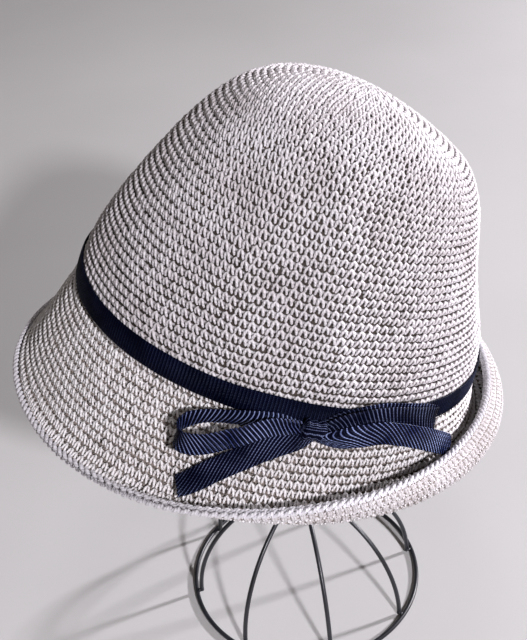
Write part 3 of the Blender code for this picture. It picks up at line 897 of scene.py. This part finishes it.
def bow(finish, painted_lit_finish):
    """Knot, loops and tails, each with its table, length, side, finish, node, rib pitch, skew and arch."""
    bow_knot(finish)
    loop, tail = LOOP_RIB_PITCH, TAIL_RIB_PITCH
    # The left loop and the right tail take the copy with brighter painted highlights, where the light catches
    # the ribs most.
    bow_strip("bow_loop_left", LEFT_LOOP, 0.047, -1, painted_lit_finish, "bow_loop_front", loop, 0.5, 1.5)
    bow_strip("bow_loop_right", RIGHT_LOOP, 0.056, 1, finish, "bow_loop_back", loop, 0.4, -2.0)
    bow_strip("bow_tail_left", LEFT_TAIL, 0.041, -1, finish, "bow_tail_front", tail, 1.3)
    bow_strip("bow_tail_right", RIGHT_TAIL, 0.067, 1, painted_lit_finish, "bow_tail_back", tail, -1.3, 3.5)


# Stand


def stand_axis(height):
    return np.array([STAND_AXIS.x, STAND_AXIS.y, height])


def ring_tube(radius, height):
    """Wire bent to a ring around the stand's axis."""
    angle = 2 * np.pi * np.arange(RING_STEPS) / RING_STEPS
    turn = 2 * np.pi * np.arange(WIRE_SIDES) / WIRE_SIDES
    reach = radius + WIRE_RADIUS * np.cos(turn)[None]
    x = reach * np.cos(angle)[:, None]
    y = reach * np.sin(angle)[:, None]
    z = height + WIRE_RADIUS * np.sin(turn)[None] + 0 * x
    points = np.stack([x, y, z], -1).reshape(-1, 3) + stand_axis(0)
    quads = grid_faces(RING_STEPS, WIRE_SIDES, closed_columns=True, closed_rows=True)[:, ::-1]
    row, column = corner_places(RING_STEPS, WIRE_SIDES)
    far = row * (2 * np.pi * radius / RING_STEPS)
    uv = np.stack([far[..., ::-1], column[..., ::-1] / WIRE_SIDES], -1).reshape(-1, 2)
    return points, quads, np.zeros((0, 3), int), uv


def weld(place, reach):
    """Small bead of weld, as a turned blob."""
    angle = np.linspace(0, np.pi, WELD_ROWS)[1:-1]
    turn = 2 * np.pi * np.arange(WELD_COLUMNS) / WELD_COLUMNS
    lumps = 1 + 0.05 * np.sin(3 * turn)[None] * np.sin(angle)[:, None]
    ring = np.stack(
        [
            np.sin(angle)[:, None] * np.cos(turn)[None] * reach[0] * lumps,
            np.sin(angle)[:, None] * np.sin(turn)[None] * reach[1] * lumps,
            np.cos(angle)[:, None] * np.ones(WELD_COLUMNS)[None] * reach[2],
        ],
        -1,
    )
    points = np.concatenate([ring.reshape(-1, 3), [(0, 0, reach[2]), (0, 0, -reach[2])]]) + place
    quads = grid_faces(WELD_ROWS - 2, WELD_COLUMNS, closed_columns=True)[:, ::-1]
    tris = end_fans(WELD_ROWS - 2, WELD_COLUMNS)[:, [0, 2, 1]]
    return points, quads, tris, np.zeros((len(quads) * 4 + len(tris) * 3, 2))


def rib_tube(way, foot_radius, rise, height, hub):
    """Wire of a dome, from its ring up to the hub around the post."""
    angle = np.linspace(0, math.acos(hub / foot_radius), RIB_STATIONS)
    outward = way * (foot_radius * np.cos(angle))[:, None]
    upward = np.array([0, 0, 1]) * (rise * np.sin(angle))[:, None]
    level = np.cross(way, (0, 0, 1))
    return tube(outward + upward + stand_axis(height), WIRE_RADIUS, WIRE_SIDES, level=level)


def post_rod(low, high):
    """Upright rod with bevelled ends."""
    reach = (high.x - low.x) / 2
    angle = 2 * np.pi * np.arange(POST_SIDES) / POST_SIDES
    levels = np.array([low.z, low.z + POST_BEVEL, high.z - POST_BEVEL, high.z])
    radii = np.array([reach - POST_BEVEL, reach, reach, reach - POST_BEVEL])[:, None]
    rows = np.stack([radii * np.cos(angle), radii * np.sin(angle), levels[:, None] + 0 * angle], -1)
    points = rows.reshape(-1, 3) + stand_axis(0)
    quads = grid_faces(len(levels), POST_SIDES, closed_columns=True)
    fan = np.array([(0, step, step + 1) for step in range(1, POST_SIDES - 1)])
    tris = np.concatenate([fan[:, ::-1], fan + (len(levels) - 1) * POST_SIDES])
    uv = np.zeros((len(quads) * 4 + len(tris) * 3, 2))
    row, column = corner_places(len(levels) - 1, POST_SIDES)
    uv[: len(quads) * 4] = np.stack([levels[row], column / POST_SIDES], -1).reshape(-1, 2)
    return points, quads, tris, uv


def stand_piece(name, parts, finish, node):
    points, quads, tris, uv = joined(parts)
    obj = make_mesh(name, points, quads, tris, uv, [finish])
    return add_piece(obj, "black_wire", node)


def middle_height(node):
    return (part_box(node)[0].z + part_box(node)[1].z) / 2


def stand(finish):
    """Rings, ribs and post of the stand, with their beads and collars of weld."""
    hub = (WIRE_RADIUS + BAND_GAP) / math.sin(math.pi / RIB_COUNT)
    inset = 2 * WIRE_RADIUS + BAND_GAP
    ring_height = middle_height("base_ring")
    domes = (
        ("base", BASE_RADIUS, BASE_HEIGHT - ring_height, ring_height),
        ("head", HEAD_RADIUS, HEAD_DOME_HEIGHT, middle_height("head_ring")),
    )
    for name, radius, rise, height in domes:
        stand_piece(f"{name}_hoop", [ring_tube(radius, height)], finish, f"{name}_ring")
        for number in range(RIB_COUNT):
            azimuth = math.radians(FIRST_RIB + 360 * number / RIB_COUNT)
            way = np.array([math.cos(azimuth), math.sin(azimuth), 0])
            joint = stand_axis(height) + way * (radius - WIRE_RADIUS - BAND_GAP / 2)
            joint[2] += WELD_LIFT
            parts = [rib_tube(way, radius - inset, rise, height, hub), weld(joint, WELD_SIZE)]
            stand_piece(f"{name}_wire_{number + 1}", parts, finish, f"{name}_rib_{number + 1}")
    low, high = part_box("post")
    collar = (hub + COLLAR_ROOM, hub + COLLAR_ROOM, COLLAR_HEIGHT)
    collars = [weld(stand_axis(place), collar) for place in (low.z + LOW_COLLAR, high.z - HIGH_COLLAR)]
    stand_piece("upright", [post_rod(low, high)] + collars, finish, "post")


# Materials


class Nodes:
    """Material being built from nodes."""

    def __init__(self, name):
        self.material = bpy.data.materials.new(name)
        self.material.use_nodes = True
        self.tree = self.material.node_tree
        self.shader = self.tree.nodes["Principled BSDF"]

    def join(self, source, target):
        """Links an output to an input."""
        self.tree.links.new(source, target)

    def ramp(self, source, stops):
        """Colour for a value, from stops of place and colour."""
        node = self.tree.nodes.new("ShaderNodeValToRGB")
        for spot in list(node.color_ramp.elements)[1:]:
            node.color_ramp.elements.remove(spot)
        for number, (place, colour) in enumerate(stops):
            spot = node.color_ramp.elements[0] if number == 0 else node.color_ramp.elements.new(place)
            spot.position = place
            spot.color = (*colour, 1)
        self.join(source, node.inputs["Fac"])
        return node.outputs["Color"]

    def spread(self, source, low, high):
        """Value spread from a share of 0 to 1 over a range."""
        node = self.tree.nodes.new("ShaderNodeMapRange")
        node.inputs["To Min"].default_value = low
        node.inputs["To Max"].default_value = high
        self.join(source, node.inputs["Value"])
        return node.outputs["Result"]

    def noise(self, scale, detail=4.0, source=None):
        node = self.tree.nodes.new("ShaderNodeTexNoise")
        node.inputs["Scale"].default_value = scale
        node.inputs["Detail"].default_value = detail
        if source is not None:
            self.join(source, node.inputs["Vector"])
        return node.outputs["Fac"]

    def maths(self, operation, first, second):
        node = self.tree.nodes.new("ShaderNodeMath")
        node.operation = operation
        for socket, value in zip(node.inputs, (first, second)):
            if isinstance(value, (int, float)):
                socket.default_value = value
            else:
                self.join(value, socket)
        return node.outputs[0]

    def mix(self, share, first, second):
        """Colour between two, each a colour or an output."""
        node = self.tree.nodes.new("ShaderNodeMix")
        node.data_type = "RGBA"
        for name, value in (("Factor_Float", share), ("A_Color", first), ("B_Color", second)):
            socket = next(one for one in node.inputs if one.identifier == name)
            if isinstance(value, (int, float)):
                socket.default_value = value
            elif isinstance(value, tuple):
                socket.default_value = (*value, 1)
            else:
                self.join(value, socket)
        return next(one for one in node.outputs if one.identifier == "Result_Color")

    def bump(self, height, distance, strength=1.0, under=None):
        node = self.tree.nodes.new("ShaderNodeBump")
        node.inputs["Distance"].default_value = distance
        node.inputs["Strength"].default_value = strength
        self.join(height, node.inputs["Height"])
        if under is not None:
            self.join(under, node.inputs["Normal"])
        return node.outputs["Normal"]

    def place(self):
        return self.tree.nodes.new("ShaderNodeTexCoord").outputs["Object"]

    def run(self):
        """Place along and around a tube, or along and across a strip."""
        return self.tree.nodes.new("ShaderNodeTexCoord").outputs["UV"]

    def split(self, vector):
        node = self.tree.nodes.new("ShaderNodeSeparateXYZ")
        self.join(vector, node.inputs[0])
        return node.outputs


def yarn_material(name, dark, light, bright, deep):
    """Paper yarn: fine fibres along it, a soft twist, uneven colour, and painted shade on the underside of
    each tube.
    """
    made = Nodes(name)
    place = made.place()
    along, around, _ = made.split(made.run())
    large = made.noise(45, 3, place)
    speckle = made.noise(900, 4, place)
    fine = made.noise(3200, 3, place)
    tone = made.maths("ADD", made.maths("MULTIPLY", large, 0.45), made.maths("MULTIPLY", speckle, 0.55))
    colour = made.ramp(tone, [(0.30, dark), (0.50, light), (0.72, bright)])
    # Painted shade: each tube is mixed towards its deep colour on its underside, where shade falls between
    # the stitches.
    turn = made.maths("COSINE", made.maths("MULTIPLY", around, FULL_TURN), 0)
    side = made.maths("POWER", made.maths("SUBTRACT", 0.5, made.maths("MULTIPLY", turn, 0.5)), 1.3)
    made.join(made.mix(side, colour, deep), made.shader.inputs["Base Color"])
    forward = made.maths("MULTIPLY", along, TWIST_ALONG)
    sideways = made.maths("MULTIPLY", around, TWIST_AROUND)
    twist = made.maths("SINE", made.maths("ADD", forward, sideways), 0)
    made.join(made.spread(speckle, 0.62, 0.86), made.shader.inputs["Roughness"])
    ply = made.bump(twist, 0.00007)
    made.join(made.bump(fine, 0.00012, 0.8, ply), made.shader.inputs["Normal"])
    made.shader.inputs["Sheen Weight"].default_value = 0.12
    made.shader.inputs["Specular IOR Level"].default_value = 0.35
    return made.material


def ribbon_material(name, highlight_colours, shine):
    """Navy grosgrain: ribs across it, their crests painted brighter as highlights, fine warp threads along it
    and a soft shine.
    """
    made = Nodes(name)
    place = made.place()
    ribs, across, _ = made.split(made.run())
    threads = made.maths("SINE", made.maths("MULTIPLY", across, WARP_THREADS), 0)
    # Painted highlight: the crest of each rib, dotted by the warp threads, is painted towards a brighter blue
    # where light would glint on it.
    wave = made.maths("COSINE", made.maths("MULTIPLY", ribs, FULL_TURN), 0)
    crest_highlight_mask = made.maths("POWER", made.maths("MAXIMUM", wave, 0), 5)
    dots = made.maths("ADD", made.maths("MULTIPLY", threads, 0.34), 0.66)
    fine = made.noise(2600, 3, place)
    large = made.noise(70, 3, place)
    tone = made.maths("ADD", made.maths("MULTIPLY", large, 0.6), made.maths("MULTIPLY", fine, 0.4))
    shades = ((0.0003, 0.0004, 0.0036), (0.0006, 0.0009, 0.0074), (0.0014, 0.0021, 0.0140))
    navy = made.ramp(tone, zip((0.30, 0.52, 0.75), shades))
    # Painted highlight: large patches shift the highlight colour between dull and bright, like patches of
    # sheen.
    bright = made.ramp(large, [(0.38, highlight_colours[0]), (0.60, highlight_colours[1])])
    painted_highlight_share = made.maths("MULTIPLY", crest_highlight_mask, dots)
    made.join(made.mix(painted_highlight_share, navy, bright), made.shader.inputs["Base Color"])
    made.join(made.spread(fine, 0.18, 0.30), made.shader.inputs["Roughness"])
    first = made.bump(threads, 0.00006, 1.0)
    made.join(made.bump(fine, 0.00003, 0.5, first), made.shader.inputs["Normal"])
    made.shader.inputs["Specular IOR Level"].default_value = shine
    made.shader.inputs["Specular Tint"].default_value = (0.55, 0.65, 1.0, 1)
    return made.material


def wire_material():
    """Satin black paint on steel wire, a little uneven and worn."""
    made = Nodes("black_paint")
    place = made.place()
    large = made.noise(60, 4, place)
    fine = made.noise(1500, 4, place)
    shades = ((0.006, 0.007, 0.010), (0.014, 0.016, 0.022), (0.030, 0.034, 0.045))
    colour = made.ramp(large, zip((0.35, 0.60, 0.80), shades))
    made.join(colour, made.shader.inputs["Base Color"])
    made.join(made.spread(fine, 0.28, 0.50), made.shader.inputs["Roughness"])
    coarse = made.bump(large, 0.00010, 0.5)
    made.join(made.bump(fine, 0.00004, 0.7, coarse), made.shader.inputs["Normal"])
    made.shader.inputs["Coat Weight"].default_value = 0.25
    made.shader.inputs["Coat Roughness"].default_value = 0.30
    return made.material


def floor_material():
    made = Nodes("pale_floor")
    place = made.place()
    large = made.noise(3, 3, place)
    colour = made.ramp(large, [(0.3, (0.52, 0.515, 0.51)), (0.7, (0.57, 0.565, 0.56))])
    made.join(colour, made.shader.inputs["Base Color"])
    made.shader.inputs["Roughness"].default_value = 0.9
    return made.material


# Stage, lights and camera


def stage(finish):
    """Pale floor that rises softly into a wall far behind."""
    profile = [(-STAGE_REACH, 0.0), (STAGE_CURVE_START, 0.0)]
    for step in range(1, STAGE_CURVE_STEPS + 1):
        angle = math.pi / 2 * step / STAGE_CURVE_STEPS
        far = STAGE_CURVE_START + STAGE_CURVE_RADIUS * math.sin(angle)
        profile.append((far, STAGE_CURVE_RADIUS - STAGE_CURVE_RADIUS * math.cos(angle)))
    profile.append((STAGE_CURVE_START + STAGE_CURVE_RADIUS, STAGE_REACH))
    points = []
    for far, high in profile:
        for width in (-STAGE_REACH, STAGE_REACH):
            point = RIGHT * width - TOWARDS * far
            points.append((point.x, point.y, high))
    obj = make_mesh("floor", np.array(points), grid_faces(len(profile), 2), None, None, [finish])


def add_light(name, way, distance, size, power, colour):
    """Round light that shines at the hat from a way."""
    light = bpy.data.lights.new(name, "AREA")
    light.shape = "DISK"
    light.size = size
    light.energy = power
    light.color = colour
    obj = bpy.data.objects.new(name, light)
    target = Vector((STAND_AXIS.x, STAND_AXIS.y, LIGHT_TARGET_HEIGHT))
    way = way.normalized()
    obj.location = target + way * distance
    obj.rotation_euler = way.to_track_quat("Z", "Y").to_euler()
    bpy.context.scene.collection.objects.link(obj)


def lights():
    for light in LIGHTS:
        add_light(*light)
    world = bpy.data.worlds.new("studio")
    world.use_nodes = True
    background = world.node_tree.nodes["Background"]
    background.inputs["Color"].default_value = ROOM_COLOUR
    background.inputs["Strength"].default_value = ROOM_STRENGTH
    bpy.context.scene.world = world
    bpy.context.scene.view_settings.view_transform = "Standard"


def camera():
    """Camera at the photograph's place, turn and angle of view."""
    azimuth = math.radians(CAMERA_AZIMUTH)
    pitch = math.radians(CAMERA_PITCH)
    roll = math.radians(CAMERA_ROLL)
    data = bpy.data.cameras.new("camera")
    data.sensor_width = SENSOR_WIDTH
    data.lens = FOCAL_PIXELS / LONG_SIDE_PIXELS * SENSOR_WIDTH
    data.clip_start = 0.01
    data.clip_end = 30
    obj = bpy.data.objects.new("camera", data)
    level = math.cos(pitch)
    ahead = Vector((-math.sin(azimuth) * level, math.cos(azimuth) * level, -math.sin(pitch)))
    right = ahead.cross(UP).normalized()
    up = right.cross(ahead)
    turned_right = right * math.cos(roll) + up * math.sin(roll)
    turned_up = up * math.cos(roll) - right * math.sin(roll)
    turn = Matrix((turned_right, turned_up, -ahead)).transposed().to_4x4()
    x, y, z = CAMERA_PLACE
    place = Vector((STAND_AXIS.x + x, STAND_AXIS.y + y, z))
    obj.matrix_world = Matrix.Translation(place) @ turn
    bpy.context.scene.collection.objects.link(obj)
    bpy.context.scene.camera = obj


camera()
lights()
stage(floor_material())
yarns = [yarn_material(*yarn) for yarn in YARNS]
band_finish, bow_finish, painted_lit_bow_finish = (ribbon_material(*ribbon) for ribbon in RIBBONS)
wire_finish = wire_material()
crochet(*yarns)
band(band_finish)
bow(bow_finish, painted_lit_bow_finish)
stand(wire_finish)
